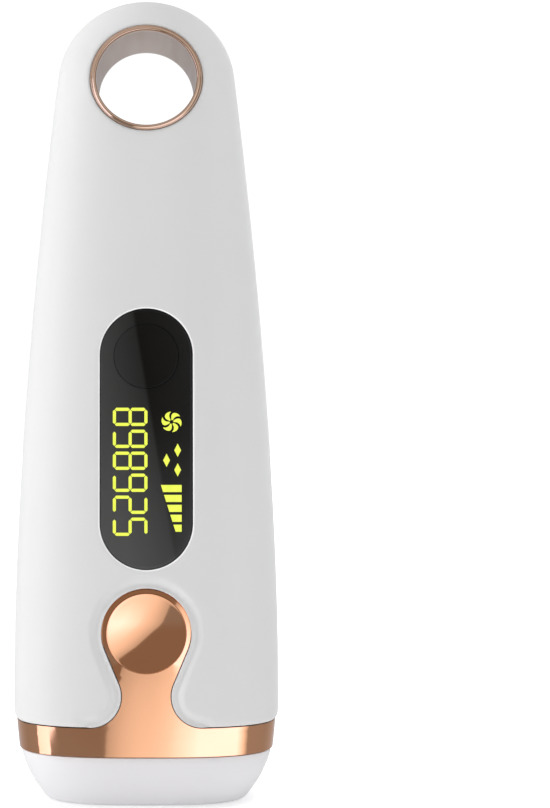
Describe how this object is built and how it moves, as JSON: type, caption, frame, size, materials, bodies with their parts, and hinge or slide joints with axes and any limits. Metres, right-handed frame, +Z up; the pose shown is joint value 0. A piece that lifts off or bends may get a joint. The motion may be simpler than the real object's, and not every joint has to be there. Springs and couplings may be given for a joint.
{
  "type": "ipl hair remover",
  "caption": "Hand-held intense-pulsed-light hair remover: tapered white body with a metal-lined hanging ring, display window, mode and flash buttons and a light window in its base.",
  "frame": {"origin": "on the resting plane z = 0, which is the light window's rim, midway between the body's sides and between its front and rear faces", "axes": "+Z runs up the handle from the light window to the hanging ring; -Y is the front, with the display and the buttons; +X is to the right of someone facing the front"},
  "size_m": [0.063, 0.0423, 0.19],
  "materials": {
    "white_shell": "satin-gloss white ABS",
    "white_head": "satin-gloss white ABS",
    "rose_gold": "polished, rose-gold anodised",
    "rose_gold_button": "finely turned, rose-gold anodised",
    "black_acrylic": "gloss black, smoked display window",
    "black_button": "gloss black",
    "bezel_metal": "satin silver",
    "filter_glass": "clear, warm filter coating",
    "sensor_steel": "plated contact strip",
    "lamp_glass": "clear fused quartz",
    "cap_steel": "plain metal",
    "reflector_sheet": "bright mirror-finished sheet",
    "holder_plastic": "heat-resistant moulding",
    "module_plastic": "moulded",
    "switch_plastic": "moulded",
    "plunger_plastic": "moulded",
    "board_laminate": "solder mask on glass-fibre laminate",
    "capacitor_can": "dark blue sleeve over an aluminium can",
    "ferrite": "sintered",
    "winding_copper": "varnished copper wire under tape",
    "transistor_case": "moulded epoxy",
    "sink_aluminium": "extruded",
    "jack_plastic": "moulded",
    "screw_steel": "zinc plated",
    "fan_plastic": "moulded",
    "bronze": "sintered bearing bronze",
    "white_insulation": "silicone insulation",
    "red_insulation": "insulation"
  },
  "bodies": {
    "housing": {"board_harness": "white_insulation", "dc_jack": "jack_plastic", "dc_jack_pin": "screw_steel", "display_lens": "black_acrylic", "display_module": "module_plastic", "fan_bearing": "bronze", "fan_frame": "fan_plastic", "fan_lead": "red_insulation", "filter_glass": "filter_glass", "flash_lamp": "lamp_glass", "flash_switch": "switch_plastic", "flyback_core": "ferrite", "flyback_winding": "winding_copper", "front_board": "board_laminate", "front_board_screw_1": "screw_steel", "front_board_screw_2": "screw_steel", "front_board_screw_3": "screw_steel", "front_board_screw_4": "screw_steel", "front_shell": "white_shell", "head_shell": "white_head", "heat_sink": "sink_aluminium", "housing_screw_1": "screw_steel", "housing_screw_2": "screw_steel", "housing_screw_3": "screw_steel", "housing_screw_4": "screw_steel", "lamp_cap_left": "cap_steel", "lamp_cap_right": "cap_steel", "lamp_holder": "holder_plastic", "lamp_lead_left": "white_insulation", "lamp_lead_right": "white_insulation", "main_board": "board_laminate", "main_board_screw_1": "screw_steel", "main_board_screw_2": "screw_steel", "main_board_screw_3": "screw_steel", "mode_switch": "switch_plastic", "power_transistor": "transistor_case", "rear_shell": "white_shell", "reflector": "reflector_sheet", "ring_liner": "rose_gold", "skin_sensor_front": "sensor_steel", "skin_sensor_rear": "sensor_steel", "storage_capacitor": "capacitor_can", "trigger_coil": "winding_copper", "trim_band": "rose_gold", "window_bezel": "bezel_metal"},
    "flash_button": {"flash_button": "rose_gold_button"},
    "flash_plunger": {"flash_plunger": "plunger_plastic"},
    "mode_button": {"mode_button": "black_button"},
    "mode_plunger": {"mode_plunger": "plunger_plastic"},
    "fan_rotor": {"fan_rotor": "fan_plastic", "fan_shaft": "screw_steel"}
  },
  "joints": [
    {"name": "flash_button_press", "type": "slide", "parent": "housing", "child": "flash_button", "axis": [0, 1, 0], "range_m": [0, 0.0008], "stiffness_N_per_m": 500, "springref_m": -0.0006},
    {"name": "flash_plunger_press", "type": "slide", "parent": "housing", "child": "flash_plunger", "axis": [0, 1, 0], "range_m": [0, 0.0008]},
    {"name": "mode_button_press", "type": "slide", "parent": "housing", "child": "mode_button", "axis": [0, 1, 0], "range_m": [0, 0.0005], "stiffness_N_per_m": 500, "springref_m": -0.0006},
    {"name": "mode_plunger_press", "type": "slide", "parent": "housing", "child": "mode_plunger", "axis": [0, 1, 0], "range_m": [0, 0.0005]},
    {"name": "fan_spin", "type": "hinge", "parent": "housing", "child": "fan_rotor", "pos_m": [0, 0.0118, 0.0475], "axis": [0, 1, 0], "continuous": true}
  ],
  "couplings": [
    {"joint": "flash_plunger_press", "follows": "flash_button_press", "ratio": 1},
    {"joint": "mode_plunger_press", "follows": "mode_button_press", "ratio": 1}
  ]
}
